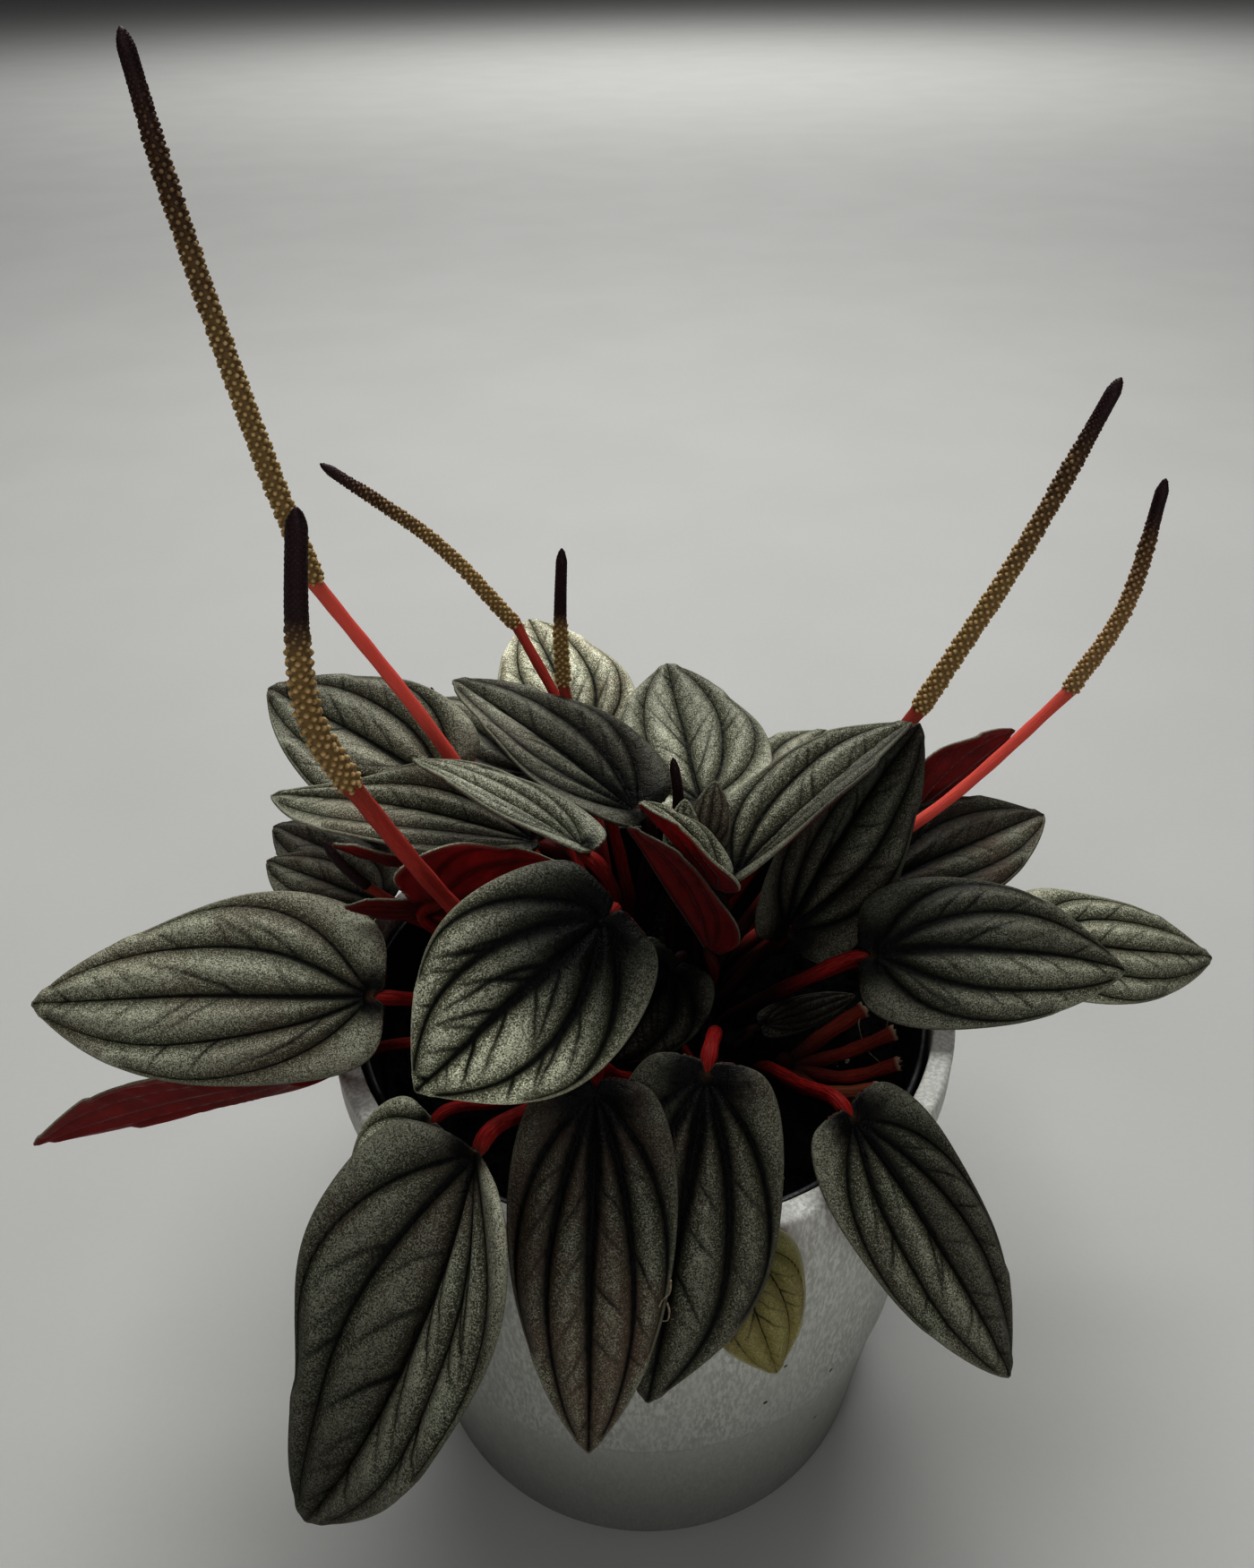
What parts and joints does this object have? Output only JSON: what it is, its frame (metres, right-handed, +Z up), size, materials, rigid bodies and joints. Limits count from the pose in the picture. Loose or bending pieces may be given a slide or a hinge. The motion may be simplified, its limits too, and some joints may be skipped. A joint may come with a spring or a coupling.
{
  "type": "potted peperomia",
  "caption": "Potted peperomia: a rosette of quilted silver-green leaves on red stalks, with upright flower spikes, in a plain round grey pot.",
  "frame": {"origin": "centre of the pot's underside, on the surface it stands on", "axes": "+Z up, -Y towards the front, +X to the right seen from the front"},
  "size_m": [0.2393, 0.2028, 0.2751],
  "materials": {
    "pot_grey": "matt grey, finely pitted above the step, smoother foot",
    "pot_black": "satin black",
    "soil": "moist crumbs",
    "leaf": "satin, silver between dark sunken veins, red underside",
    "leaf_yellow": "satin, yellowed",
    "spike": "fine florets, red stalk",
    "stub": "satin, dry cut ends"
  },
  "bodies": {
    "root": {"cover_pot": "pot_grey", "grower_pot": "pot_black", "soil": "soil", "stem_stubs": "stub", "leaf_front": "leaf", "leaf_left": "leaf", "leaf_low_left": "leaf", "leaf_low_middle": "leaf", "leaf_low_middle_right": "leaf", "leaf_yellow": "leaf_yellow", "leaf_low_right": "leaf", "leaf_right": "leaf", "leaf_far_right": "leaf", "leaf_right_tall": "leaf", "leaf_right_back": "leaf", "leaf_upper_right": "leaf", "leaf_red_back_right": "leaf", "leaf_top": "leaf", "leaf_back_right": "leaf", "leaf_back_left": "leaf", "leaf_back_far_left": "leaf", "leaf_upper_left": "leaf", "leaf_left_back": "leaf", "leaf_left_upper": "leaf", "leaf_top_left": "leaf", "leaf_left_small": "leaf", "leaf_left_hidden": "leaf", "leaf_red_left": "leaf", "leaf_red_low_left": "leaf", "leaf_pale_small": "leaf", "leaf_dark_inner": "leaf", "leaf_young_red": "leaf", "leaf_young_green": "leaf", "leaf_young_centre": "leaf", "leaf_low_inner": "leaf", "leaf_behind_right": "leaf", "leaf_behind_middle": "leaf", "leaf_behind_left": "leaf", "leaf_behind_far_left": "leaf", "spike_tall_left": "spike", "spike_front_left": "spike", "spike_back_left": "spike", "spike_back_middle": "spike", "spike_young_left": "spike", "spike_young_centre": "spike", "spike_right": "spike", "spike_far_right": "spike", "spike_low_left": "spike"}
  },
  "joints": []
}
